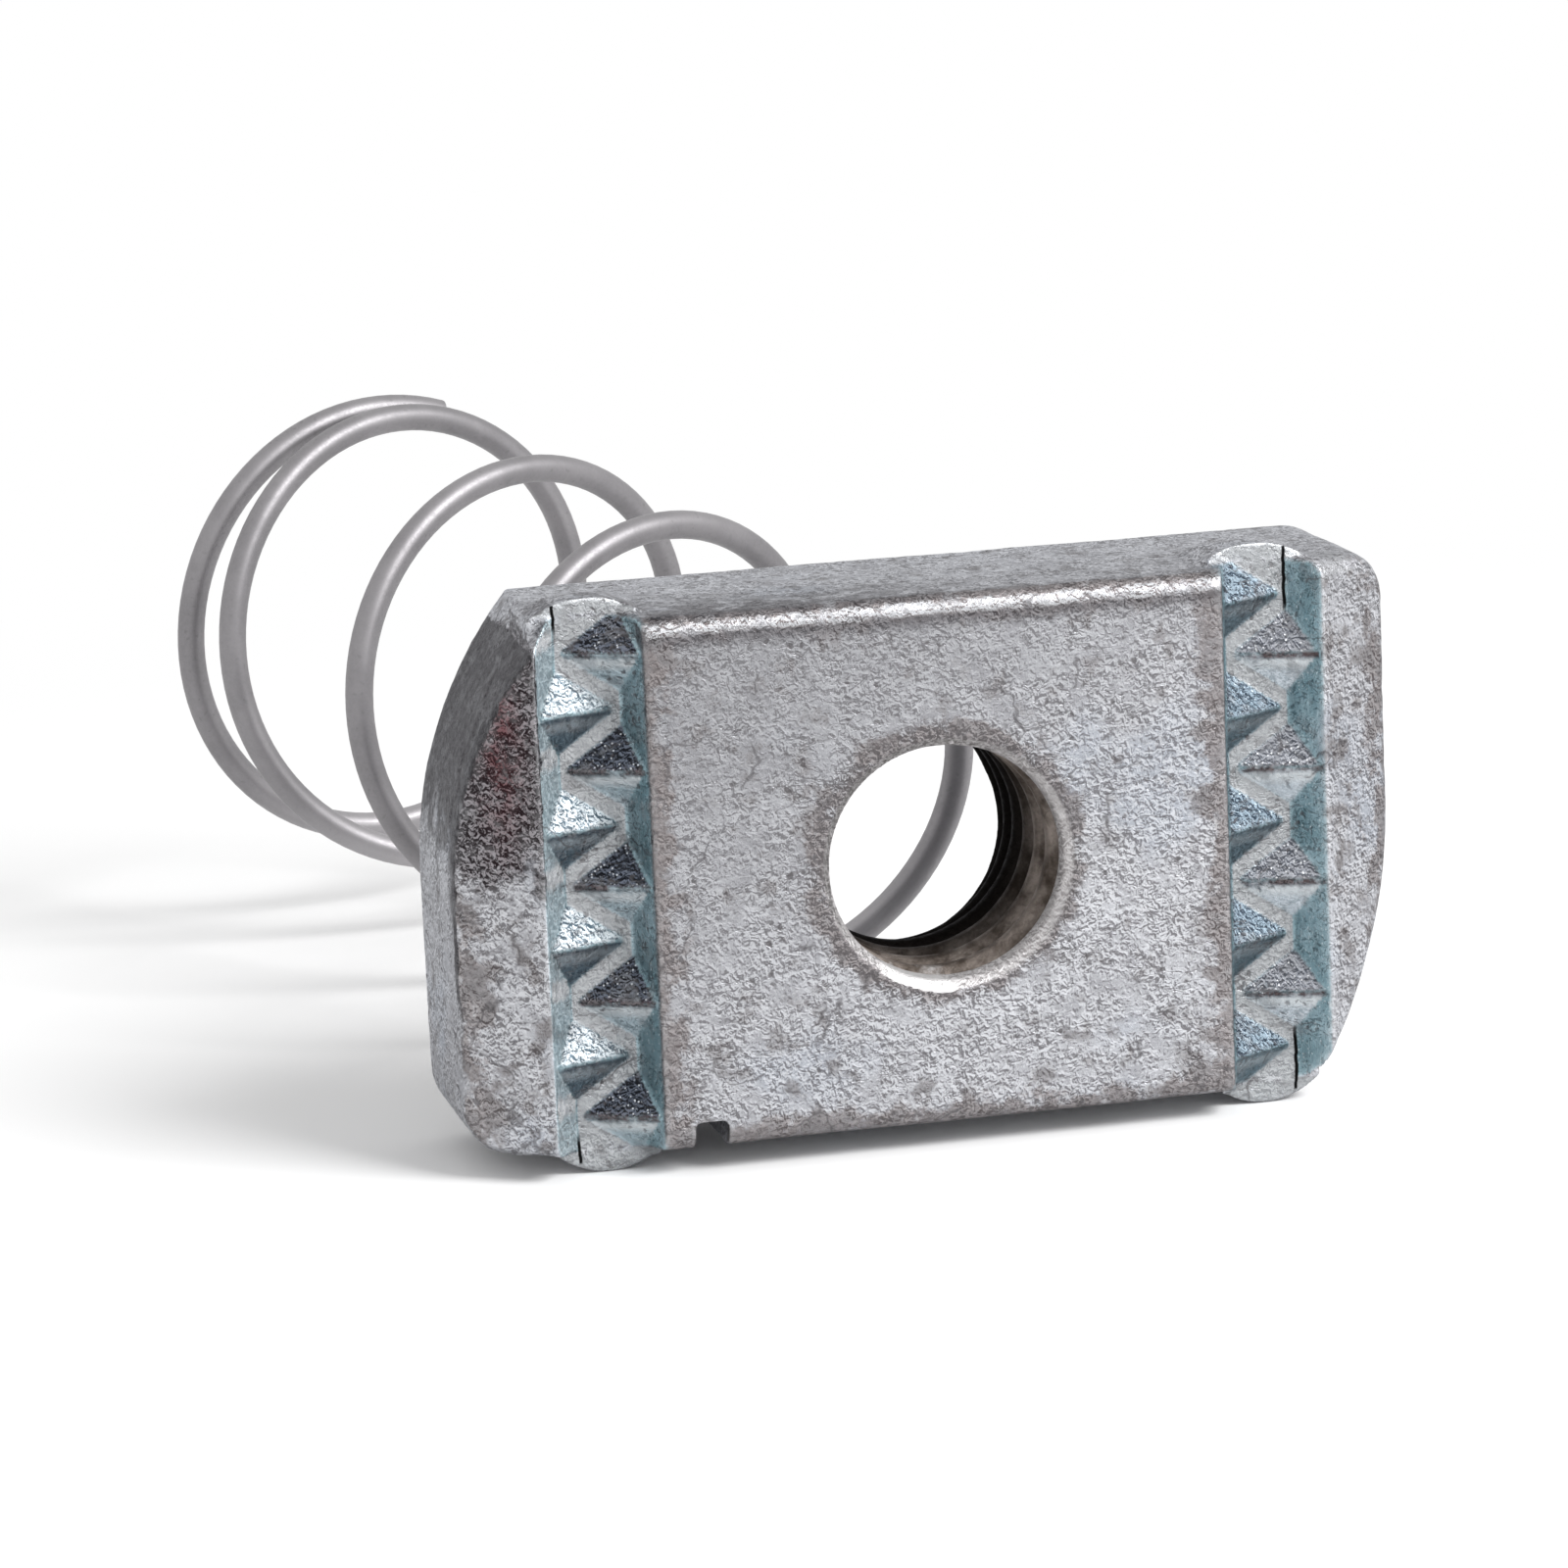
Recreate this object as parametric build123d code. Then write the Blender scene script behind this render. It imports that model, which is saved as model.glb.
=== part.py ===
from build123d import *
import os
from math import asin, cos, pi, radians, sin, sqrt

# Strut spring nut: a toothed rectangular nut that clamps behind the lips of a 41 mm strut
# channel, with the coil spring that holds it up against the lips before its bolt is tight.
# The nut stands on one long side. +X runs along its length, +Z across its width, and the
# grooved face looks along -Y. The origin is on the thread's axis at half the thickness.

# ---------- sizes in millimetres, angles in degrees ----------

# Nut blank
nut_length = 35.8            # passes crosswise inside the 36 mm channel
nut_width = 19.8             # passes through the 22.2 mm slot
nut_thickness = 9.5
corner_radius = 1.8          # the two square corners that stop the quarter turn
swing_radius = 15.5          # the two corners rounded off so that the nut can make that turn
swing_start = 0.25           # they begin this far short of the middle of each end
face_edge_radius = 0.75      # rounding of the rolled edges round the grooved face
back_edge_radius = 0.45

# Face profile: central land, one groove for each channel lip, and a sloping shoulder
land_length = 21.7           # enters the slot between the lips
groove_mouth = 4.0
groove_depth = 1.8
groove_inner_draft = 0.55    # how far the land's wall leans into the groove
groove_outer_draft = 1.0     # how far the shoulder's wall leans into the groove
shoulder_drop = 0.45         # top of the shoulder below the land
shoulder_end_drop = 2.4      # outer end of the shoulder below the land

# Teeth on the groove floors, from both walls in turn
tooth_pitch = 4.3
inner_teeth = 5              # teeth that lean on the land, in each groove
tooth_base = 3.1             # width of a tooth at the foot of its wall
tooth_tip_gap = 0.2          # from a tooth's tip to the opposite wall
inner_crest_drop = 0.3       # crest of an inner tooth below the land
outer_crest_drop = 0.2       # crest of an outer tooth below the top of the shoulder
tooth_root = 0.15            # how far a tooth's root runs into its wall

# Metal pressed out of the groove ends when the teeth are struck
swell_height = 0.7           # stands proud of the upper long side
lower_swell_height = 0.9     # and of the lower one
swell_length = 4.3           # along the nut
swell_depth = 3.4            # down the side, from the groove floor

# Thread, M10 with a pitch of 1.5: the bore is the thread's minor diameter
thread_minor = 8.6
mouth_diameter = 9.3         # countersink at the grooved face
mouth_depth = 0.35
back_mouth_diameter = 9.2
back_mouth_depth = 0.3

# Spring, one wire
wire = 1.15
coil_radius = 8.6            # wire centre, at the nut
coil_growth = 0.75           # wider by this at the far end
coil_pitch = 11.54
active_turns = 3.35
closed_turns = 1.05          # the last turn closes on the one before it
closed_gap = 0.1             # between the closed turn and its neighbour
coil_offset = -2.61          # first coil's centre from the thread's axis, along the nut
coil_drop = 0.33             # and below it
coil_lift = 0.5              # the wire has left the nut's back by this much where the coil starts
coil_start = 213.0           # where the wire joins the coil, from +X towards +Z
lean_side = 17.1             # lean of the spring's axis towards -X
lean_up = 4.5                # and upwards
lean_run = 14.8              # length over which the axis bends to its lean
close_run = 0.24             # turns over which the pitch closes
seat_gap = 0.02              # between the first coil and the nut's back

# Wire leg staked in a slot down the lower long side
slot_centre = -9.15          # along the nut
slot_width = 1.25
slot_depth = 1.05
slot_relief = 1.3            # square cut across the slot's back end, where the wire turns in
leg_length = 6.0
leg_bend = 1.1

# ---------- sizes worked out from those above ----------

face = nut_thickness / 2
back = -nut_thickness / 2
land_end = land_length / 2
groove_end = land_end + groove_mouth
floor_start = land_end + groove_inner_draft
floor_end = groove_end - groove_outer_draft
groove_floor = face - groove_depth
nut_end = nut_length / 2
side = nut_width / 2


def nut_outline():
    """Plan of the blank: two opposite corners rounded off for the quarter turn, two left square."""
    swing = asin((side + swing_start) / swing_radius)

    def on_swing(angle):
        return (nut_end - swing_radius * (1 - cos(angle)), swing_start - swing_radius * sin(angle))

    with BuildSketch() as sketch:
        with BuildLine():
            for turn in (1, -1):
                corner = [(turn * x, turn * y) for x, y in map(on_swing, (0, swing / 2, swing))]
                square = (turn * nut_end, turn * side)
                Line(corner[0], square)
                Line(square, (-corner[2][0], turn * side))
                ThreePointArc(*corner)
        make_face()
        square_corners = [v for v in sketch.vertices() if v.X * v.Y > 0.9 * nut_end * side]
        fillet(square_corners, corner_radius)
    return sketch.sketch


def face_profile():
    """Section along the nut: land, grooves and shoulders over the flat back."""
    right = [
        (land_end, face),
        (floor_start, groove_floor),
        (floor_end, groove_floor),
        (groove_end, face - shoulder_drop),
        (nut_end, face - shoulder_end_drop),
        (nut_end, back),
    ]
    left = [(-x, z) for x, z in reversed(right)]
    return make_face(Polyline(*right, *left, close=True))


def nut_blank():
    """The rolled and cropped bar, with its face edges rounded."""
    bar = extrude(Plane.XZ * face_profile(), amount=nut_width, both=True)
    plan = extrude(Pos(0, 0, back) * nut_outline(), amount=nut_thickness)
    blank = plan & bar
    shoulder_slope = (shoulder_end_drop - shoulder_drop) / (nut_end - groove_end)

    def on_outline(edge):
        """True for an edge between the face and a long side, turned corner or end."""
        middle = edge @ 0.5
        reach = abs(middle.X)
        on_land = reach < land_end and abs(middle.Z - face) < 0.01
        shoulder = face - shoulder_drop - (reach - groove_end) * shoulder_slope
        on_shoulder = reach > groove_end + 0.01 and abs(middle.Z - shoulder) < 0.01
        return on_land and abs(middle.Y) > side - 0.01 or on_shoulder

    blank = fillet([e for e in blank.edges() if on_outline(e)], face_edge_radius)
    back_edges = blank.edges().filter_by(lambda e: abs((e @ 0.5).Z - back) < 0.01)
    return fillet(back_edges, back_edge_radius)


def tooth(tip_x, wall_foot_x, crest_x, crest_z):
    """One tooth: a crest that climbs from its tip on the groove floor up its wall."""
    reach = wall_foot_x - tip_x
    outward = 1 if reach > 0 else -1
    root_x = crest_x + outward * tooth_root
    grow = (root_x - tip_x) / reach
    climb = (root_x - tip_x) / (crest_x - tip_x)
    half = tooth_base / 2 * grow
    top = groove_floor + (crest_z - groove_floor) * climb
    tip = Vector(tip_x, 0, groove_floor)
    low = Vector(root_x, -half, groove_floor)
    high = Vector(root_x, half, groove_floor)
    crest = Vector(root_x, 0, top)
    sides = [(low, high, crest), (tip, low, crest), (tip, crest, high), (tip, high, low)]
    return Solid(Shell([Face(Wire.make_polygon(s, close=True)) for s in sides]))


def wall_at(foot_x, top_x, top_z, height):
    """X of a leaning groove wall at the given height."""
    return foot_x + (top_x - foot_x) * (height - groove_floor) / (top_z - groove_floor)


def groove_teeth():
    """The teeth of the groove at +X, those on the land first."""
    inner_crest = face - inner_crest_drop
    outer_crest = face - shoulder_drop - outer_crest_drop
    inner_x = wall_at(floor_start, land_end, face, inner_crest)
    outer_x = wall_at(floor_end, groove_end, face - shoulder_drop, outer_crest)
    inner = tooth(floor_end - tooth_tip_gap, floor_start, inner_x, inner_crest)
    outer = tooth(floor_start + tooth_tip_gap, floor_end, outer_x, outer_crest)
    first = -(inner_teeth - 1) / 2 * tooth_pitch
    row = [Pos(0, first + i * tooth_pitch, 0) * inner for i in range(inner_teeth)]
    row += [Pos(0, first + (i + 0.5) * tooth_pitch, 0) * outer for i in range(inner_teeth - 1)]
    return row


def end_swell(height):
    """Metal pushed out past the long side at +Y by this height, at the end of the groove at +X."""
    centre = (floor_start + floor_end) / 2
    half = swell_length / 2
    inside = side - face_edge_radius
    lens = make_face(
        [
            ThreePointArc((-half, side), (0, side + height), (half, side)),
            Polyline((half, side), (half, inside), (-half, inside), (-half, side)),
        ]
    )
    lobe = extrude(Pos(centre, 0, groove_floor - swell_depth) * lens, amount=swell_depth)
    fade = make_face(
        Polyline(
            (inside, groove_floor),
            (side + height, groove_floor),
            (side + height, groove_floor - swell_depth / 3),
            (side, groove_floor - swell_depth),
            (inside, groove_floor - swell_depth),
            close=True,
        )
    )
    wedge = extrude(Plane.YZ * fade, amount=nut_end)
    return lobe & wedge


def nut():
    """The finished nut, still lying on its back with its face up."""
    body = nut_blank()
    teeth = groove_teeth()
    swells = [end_swell(swell_height), mirror(end_swell(lower_swell_height), Plane.XZ)]
    body += teeth + swells
    body += [Rot(0, 0, 180) * one for one in teeth] + [mirror(one, Plane.YZ) for one in swells]
    thread = Cylinder(thread_minor / 2, nut_thickness * 2)
    mouth = Pos(0, 0, face - mouth_depth / 2) * Cone(
        thread_minor / 2, mouth_diameter / 2, mouth_depth
    )
    back_mouth = Pos(0, 0, back + back_mouth_depth / 2) * Cone(
        back_mouth_diameter / 2, thread_minor / 2, back_mouth_depth
    )
    slot = Pos(slot_centre, -side, 0) * Box(slot_width, slot_depth * 2, nut_thickness * 2)
    relief = Rot(45, 0, 0) * Box(slot_width, slot_relief, slot_relief)
    relief = Pos(slot_centre, slot_depth - side, back) * relief
    return body - thread - mouth - back_mouth - slot - relief


def smooth(part):
    """Ease from 0 to 1 as part goes from 0 to 1."""
    part = min(max(part, 0.0), 1.0)
    return part * part * (3 - 2 * part)


def coil_line(spans_per_turn=8):
    """Wire centre from the nut's back to the far end: points on the leaning coil, and its direction there."""
    turns = active_turns + closed_turns
    count = round(turns * spans_per_turn)
    fine = 40  # steps from one point to the next
    centre = Vector(coil_offset, -coil_drop, back - seat_gap - wire / 2 - coil_lift)
    length = coil_lift
    walk = []
    for i in range(count * fine + 1):
        turn = turns * i / (count * fine)
        bend = smooth(length / lean_run)
        along_x = -sin(radians(lean_side) * bend)
        along_y = sin(radians(lean_up) * bend)
        axis = Vector(along_x, along_y, -sqrt(1 - along_x**2 - along_y**2))
        right = (Vector(1, 0, 0) - axis * along_x).normalized()
        up = right.cross(axis)
        angle = radians(coil_start) - 2 * pi * turn
        radius = coil_radius + coil_growth * turn / turns
        walk.append(centre + right * (radius * cos(angle)) + up * (radius * sin(angle)))
        closing = smooth((turn - active_turns) / close_run + 0.5)
        rise = coil_pitch * (1 - closing) + (wire + closed_gap) * closing
        step = rise * turns / (count * fine)
        length += step
        centre += axis * step
    points = walk[::fine]
    ahead = [walk[1]] + walk[fine + 1 :: fine] + [walk[-1]]
    behind = [walk[0]] + walk[fine - 1 :: fine]
    directions = [(a - b).normalized() for a, b in zip(ahead, behind)]
    return points, directions


def bent_between(start, leaving, end, arriving):
    """Two arcs that run smoothly into each other and keep the direction of the wire at both ends."""
    across = end - start
    both = leaving + arriving
    turn = 2 * (1 - leaving.dot(arriving))
    reach = (sqrt(across.dot(both) ** 2 + turn * across.dot(across)) - across.dot(both)) / turn
    middle = (start + end + (leaving - arriving) * reach) * 0.5
    first = Edge.make_tangent_arc(start, leaving, middle)
    return [first, Edge.make_tangent_arc(middle, first.tangent_at(1), end)]


def spring():
    """One wire: a leg in the nut's slot, a bend onto the back and the open coil."""
    seat = back - seat_gap - wire / 2
    leg_y = -side + slot_depth - seat_gap - wire / 2
    leg_foot = Vector(slot_centre, leg_y, seat)
    leg_top = leg_foot + Vector(0, 0, leg_length)
    inward = Vector(0, 1, 0)
    bend_up = leg_foot + Vector(0, 0, leg_bend)
    bend_out = leg_foot + inward * leg_bend
    path = [
        Edge.make_line(leg_top, bend_up),
        Edge.make_tangent_arc(bend_up, Vector(0, 0, -1), bend_out),
    ]
    points, directions = coil_line()
    points = [bend_out] + points
    directions = [inward] + directions
    for i in range(len(points) - 1):
        path += bent_between(points[i], directions[i], points[i + 1], directions[i + 1])
    section = Plane(leg_top, z_dir=(0, 0, -1)) * Circle(wire / 2)
    return sweep(section, Wire(path))


def write(name, shape):
    """Stand the part on its long side and save it."""
    standing = Rot(90, 0, 0) * shape
    export_step(standing, "parts/" + name + ".step")


os.makedirs("parts", exist_ok=True)
write("nut", nut())
write("spring", spring())
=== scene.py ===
# %% [markdown]
# # Strut spring nut
# A zinc-plated channel nut with a tapped hole, two toothed grooves and a coil spring on its back.
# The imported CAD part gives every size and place. This file gives the looks: softened edges, the
# thread, small dents, and the finish of zinc on forged steel and of drawn spring wire.

# %% Load the frame
import math
from functools import partial

import bmesh
import bpy
import numpy as np
from mathutils import Matrix, Vector


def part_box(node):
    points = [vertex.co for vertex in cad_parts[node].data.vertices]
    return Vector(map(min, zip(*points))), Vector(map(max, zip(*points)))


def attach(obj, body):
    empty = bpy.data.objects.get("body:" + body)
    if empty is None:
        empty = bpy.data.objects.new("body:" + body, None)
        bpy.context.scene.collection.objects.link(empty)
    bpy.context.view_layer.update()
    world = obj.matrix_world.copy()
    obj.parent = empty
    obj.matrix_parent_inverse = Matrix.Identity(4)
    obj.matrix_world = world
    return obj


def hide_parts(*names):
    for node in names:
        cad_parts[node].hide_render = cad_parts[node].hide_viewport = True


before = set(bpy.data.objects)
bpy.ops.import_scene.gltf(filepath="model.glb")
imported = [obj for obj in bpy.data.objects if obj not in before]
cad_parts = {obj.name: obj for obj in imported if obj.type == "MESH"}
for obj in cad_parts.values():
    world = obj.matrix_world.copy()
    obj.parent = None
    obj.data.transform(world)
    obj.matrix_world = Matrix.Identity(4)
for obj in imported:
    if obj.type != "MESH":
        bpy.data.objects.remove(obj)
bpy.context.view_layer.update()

scene = bpy.context.scene
mm = 0.001
nut_low, nut_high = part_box("nut")

# %% [markdown]
# ## Places on the nut
# Much of what follows asks where a point of the nut lies: on the flat land in the middle, in a
# toothed groove beside it, or on the sloping shoulder past that. These distances mark the borders.
# They are in millimetres from the middle of the nut, which is easier to read than metres.

# %% Places on the nut
land_end, groove_end = 10.85, 14.85  # along the nut
groove_depth = 1.8
long_side = 9.9  # the upper and lower long sides
tooth_pitch = 4.3
crack_line = 13.8  # where a groove's end tears, along the nut
thread_pitch = 1.5
thread_minor = 4.3  # radius of the thread's crests
mouth_radius = 4.65
front, back = nut_low.y / mm, nut_high.y / mm
print("the nut is", round(back - front, 3), "mm thick")

# %% [markdown]
# ## The camera
# A long lens stands about 21 cm away, a little above the nut and to its left, so the toothed face,
# the end and the long top side all show. It is set by a place, a point to look at and a small roll,
# because those three are easier to reason about than rotation angles.

# %% Camera
camera_place = Vector((-53.49, -207.70, 46.07)) * mm
camera_aim = Vector((-5.94, -4.75, 3.47)) * mm
camera_roll = math.radians(-2.49)

camera = bpy.data.objects.new("camera", bpy.data.cameras.new("camera"))
camera.data.lens = 135
camera.data.sensor_width = 36
camera.data.clip_start = 0.01
turn = (camera_aim - camera_place).to_track_quat("-Z", "Y").to_matrix().to_4x4()
camera.matrix_world = Matrix.Translation(camera_place) @ turn @ Matrix.Rotation(camera_roll, 4, "Z")
scene.collection.objects.link(camera)
scene.camera = camera
print("the camera stands", round((camera_aim - camera_place).length, 4), "m away")

# %% [markdown]
# ## The nut's skin
# The real nut is forged hot and cropped, so no edge on it is as sharp as a drawing. One way to soften
# it is a bevel on each edge, but the teeth meet the walls in corners too small for that. A voxel
# remesh rebuilds the whole skin as small even faces instead, and a little smoothing then rounds
# every edge by about the same amount. The even faces also let the thread be pushed into the bore.

# %% Even skin
voxel = 0.1  # millimetres


def even_skin(node):
    """A new object in millimetres: the node's closed skin, rebuilt as even faces."""
    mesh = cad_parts[node].data.copy()
    skin = bmesh.new()
    skin.from_mesh(mesh)
    bmesh.ops.remove_doubles(skin, verts=skin.verts, dist=1e-7)
    skin.to_mesh(mesh)
    skin.free()
    mesh.transform(Matrix.Scale(1 / mm, 4))
    block = bpy.data.objects.new(node + "_block", mesh)
    scene.collection.objects.link(block)
    remesh = block.modifiers.new("even faces", "REMESH")
    remesh.mode = "VOXEL"
    remesh.voxel_size = voxel
    return block


def applied(block):
    """The mesh that the block's modifiers make, in place of its own."""
    bpy.context.view_layer.update()
    seen = block.evaluated_get(bpy.context.evaluated_depsgraph_get())
    mesh = bpy.data.meshes.new_from_object(seen)
    block.modifiers.clear()
    block.data = mesh
    return mesh


block = even_skin("nut")
skin = applied(block)
print("the even skin has", len(skin.vertices), "points")

# %% [markdown]
# ## Points as a table
# Sculpting by hand could make what comes next, but a rule for every point is exact and can be run
# again. The mesh hands over its points as one table, rules move the rows, and the table goes back.

# %% Points of a mesh
def points_of(mesh):
    """The mesh's points as rows of x, y and z."""
    co = np.empty(len(mesh.vertices) * 3, np.float32)
    mesh.vertices.foreach_get("co", co)
    return co.reshape(-1, 3).astype(float)


def normals_of(mesh):
    """The direction that each point of the mesh faces."""
    no = np.empty(len(mesh.vertices) * 3, np.float32)
    mesh.vertices.foreach_get("normal", no)
    return no.reshape(-1, 3).astype(float)


def put_points(mesh, co):
    """Move the mesh's points to the rows of x, y and z."""
    mesh.vertices.foreach_set("co", co.astype(np.float32).ravel())
    mesh.update()


co = points_of(skin)
print("the table has", co.shape, "numbers")

# %% [markdown]
# ## The ends of the tooth rows
# Striking the teeth presses metal out of both ends of a groove, as a low rounded swell on the long
# side. The root of the last tooth runs into that swell on the real nut. In the CAD part its corner
# stands out of the swell as a thin fin, so every point of it is brought down to the swell's surface,
# which is an arc over the groove's width.

# %% End teeth trimmed to the swells
swell_centre, swell_half = 12.61, 2.15  # along the nut
upper_swell, lower_swell = 0.7, 0.9  # heights
fin_start, fin_end = 10.3, 11.6  # along the nut
left_over = 0.02

swell_top = np.where(co[:, 2] > 0, upper_swell, lower_swell)
swell_round = (swell_half**2 + swell_top**2) / (2 * swell_top)
off_centre = np.clip(swell_centre - np.abs(co[:, 0]), 0, swell_half)
crown = long_side + swell_top - swell_round + np.sqrt(swell_round**2 - off_centre**2)
fin = (np.abs(co[:, 0]) > fin_start) & (np.abs(co[:, 0]) < fin_end)
fin &= np.abs(co[:, 2]) > crown + left_over
co[:, 2] = np.where(fin, np.sign(co[:, 2]) * (crown + left_over), co[:, 2])
print("trimmed", int(fin.sum()), "points of the end teeth back to the swells")

# %% [markdown]
# ## The thread
# The hole is tapped with a coarse thread. A screw-shaped cutter could be subtracted, but the skin of
# the bore is already finer than the thread, so each of its points is simply moved outward by the
# thread's own profile: a flat crest, a 60 degree flank and a narrow root, turning as it goes in. The
# first part of the hole stays smooth, and the cut fades in and out as a tap leaves it.

# %% Thread in the bore
thread_depth = 0.5
smooth_mouth = 0.6  # the cut starts this far in
runout = 0.6  # and fades over this length at each end
crest_share, root_share = 0.25, 0.125  # of the pitch
bore_margin = 0.4  # points this far outside the mouth's radius still belong to the bore

radius = np.hypot(co[:, 0], co[:, 2])
angle = np.arctan2(co[:, 2], co[:, 0])
phase = np.mod(co[:, 1] / thread_pitch + angle / (2 * math.pi), 1.0)
flank_width = (1 - crest_share - root_share) / 2
flank = np.clip((0.5 - crest_share / 2 - np.abs(phase - 0.5)) / flank_width, 0, 1)
fade = np.clip(np.minimum(co[:, 1] - front - smooth_mouth, back - co[:, 1]) / runout, 0, 1)
wall = thread_minor + thread_depth * flank * fade
in_bore = (radius < mouth_radius + bore_margin) & (radius < wall)
push = np.where(in_bore, wall / np.maximum(radius, 0.1), 1.0)
co[:, 0] *= push
co[:, 2] *= push
print("the thread moved", int(in_bore.sum()), "points")

# %% [markdown]
# ## The mouths of the hole
# A tap that starts a little askew, and handling after it, open the mouths more to one side than to
# the other. A cone-shaped cutter would open them evenly. Here each point near a mouth is pushed
# outward, most in one direction and less with depth and with distance from the hole.

# %% Mouths opened to one side
front_flare, front_flare_length, front_flare_way = 0.4, 1.2, -25  # millimetres, and degrees from +X
back_flare, back_flare_length, back_flare_way = 0.75, 2.4, -85
flare_reach = 7.5  # past this radius nothing moves
flare_turn = 0.25  # how far the flare goes on past a quarter turn to each side


def flared(co, depth, flare, length, way):
    """The points with the hole's mouth opened out to one side over a short length."""
    radius = np.maximum(np.hypot(co[:, 0], co[:, 2]), 0.1)
    facing = np.cos(np.arctan2(co[:, 2], co[:, 0]) - math.radians(way))
    share = np.clip(1 - depth / length, 0, 1)
    share = share * np.clip(facing + flare_turn, 0, 1 + flare_turn) / (1 + flare_turn)
    share *= np.clip((flare_reach - radius) / (flare_reach - thread_minor), 0, 1) ** 2
    opened = co.copy()
    opened[:, [0, 2]] *= (1 + flare * share / radius)[:, None]
    return opened


co = flared(co, co[:, 1] - front, front_flare, front_flare_length, front_flare_way)
co = flared(co, back - co[:, 1], back_flare, back_flare_length, back_flare_way)
put_points(skin, co)
print("the mouths open by", front_flare, "and", back_flare, "mm")

# %% [markdown]
# ## Dents and unevenness
# Tumbling in the plating barrel leaves shallow dents, and the forging dies leave a slightly wavy
# face. Both are a few hundredths of a millimetre deep. A sum of random hills is enough, so a small
# lattice of random heights is read between its points, once coarse and once fine. The shoulder at
# the left was cropped cold and is rougher, and the bore keeps less of all this than the outside.

# %% Waves and dents
wave_height, wave_size = 0.03, 3.0
dent_depth, dent_size, dent_start = 0.06, 0.9, 0.62  # only hills above the start become dents
speck_height, speck_size = 0.012, 0.32
rough_height, rough_size = 0.05, 0.55
rough_end, rough_front = -14.9, -1.0  # the cropped shoulder lies past these
bore_share = 0.3


def hills(points, size, seed):
    """Smooth random heights from -1 to 1, with hills about size millimetres apart."""
    count = 48
    heights = np.random.default_rng(seed).uniform(-1, 1, (count, count, count))
    place = points / size
    cell = np.floor(place).astype(int)
    part = place - cell
    part = part * part * (3 - 2 * part)
    total = np.zeros(len(points))
    for dx in (0, 1):
        for dy in (0, 1):
            for dz in (0, 1):
                share = np.ones(len(points))
                for axis, far_corner in enumerate((dx, dy, dz)):
                    share *= part[:, axis] if far_corner else 1 - part[:, axis]
                i, j, k = ((cell + (dx, dy, dz)) % count).T
                total += share * heights[i, j, k]
    return total


dented = points_of(skin)
dents = np.clip(hills(dented, dent_size, 2) - dent_start, 0, 1)
lift = wave_height * (hills(dented, wave_size, 1) - 0.5) - dent_depth * dents
lift += speck_height * hills(dented, speck_size, 3)
cropped = (dented[:, 0] < rough_end) & (dented[:, 1] < rough_front)
lift += np.where(cropped, rough_height * (hills(dented, rough_size, 4) - 0.6), 0)
outside = np.hypot(dented[:, 0], dented[:, 2]) > mouth_radius + 0.1
lift = np.where(outside, lift, bore_share * lift)
dented += normals_of(skin) * lift[:, None]
put_points(skin, dented)
print("the deepest dent is", round(float(-lift.min()), 3), "mm")

# %% [markdown]
# ## Soft edges and fewer faces
# Two rounds of smoothing turn every sharp edge into a small radius, as tumbling does. The skin then
# has far more faces than the flat parts need, so a decimate modifier drops the ones that matter
# least. Subdividing only the curved parts by hand would give the same in much more work. At the end
# the points are held inside the CAD nut's box, so the skin doesn't outgrow the solid.

# %% Soften and lighten
skin_limit = 195000  # triangles

smooth = block.modifiers.new("soft edges", "SMOOTH")
smooth.factor = 0.5
smooth.iterations = 2
thin = block.modifiers.new("fewer faces", "DECIMATE")
thin.ratio = min(1.0, skin_limit / (2 * len(skin.polygons)))
skin = applied(block)
low, high = np.array(nut_low) / mm, np.array(nut_high) / mm
put_points(skin, np.clip(points_of(skin), low, high))
nut = bpy.data.objects.new("nut_plated", skin)
scene.collection.objects.link(nut)
bpy.data.objects.remove(block)
print("the nut has", sum(len(p.vertices) - 2 for p in skin.polygons), "triangles")

# %% [markdown]
# ## What the plating shows where
# Zinc looks different from place to place: bright where edges were rubbed, brown-grey where liquid
# dried beside the grooves, bluish where nothing has touched the grooves. Some masks also place
# painted light and shade: highlights, dark reflections and shade drawn into the colour. Painting
# this by hand would need an image. Each of these masks is worked out once for every point of the
# skin instead, and kept as a named number on the mesh, which a material can read. The next cells
# make them one by one.

# %% Keeping a mask
co, no = points_of(skin), normals_of(skin)
side, depth, height = np.abs(co[:, 0]), co[:, 1] - front, co[:, 2]
left = co[:, 0] < 0


def keep(name, values):
    """Store one number from 0 to 1 for each point of the nut's skin."""
    layer = skin.attributes.new(name, "FLOAT", "POINT")
    layer.data.foreach_set("value", np.clip(values, 0, 1).astype(np.float32))


def between(values, start, end):
    """0 before start, 1 after end and smooth between them."""
    part = np.clip((values - start) / (end - start), 0, 1)
    return part * part * (3 - 2 * part)


print("the masks are made for", len(co), "points")

# %% [markdown]
# ## Corners that hold dirt and painted shade
# Dirt stays in corners and wear takes it off edges, and the corners also get painted shade. The
# renderer has a pointiness value for that, but it depends on the mesh's density. Here each point is
# compared with the middle of its neighbours: it stands out of them on an edge and lies below them in
# a corner.

# %% Mask of the corners
links = np.empty(len(skin.edges) * 2, np.int32)
skin.edges.foreach_get("vertices", links)
first, second = links.reshape(-1, 2).T
link_count = np.bincount(first, minlength=len(co)) + np.bincount(second, minlength=len(co))
neighbours = np.maximum(link_count, 1)


def spread(values):
    """Each point's mean over its neighbours."""
    total = np.bincount(first, values[second], len(co)) + np.bincount(second, values[first], len(co))
    return total / neighbours


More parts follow.
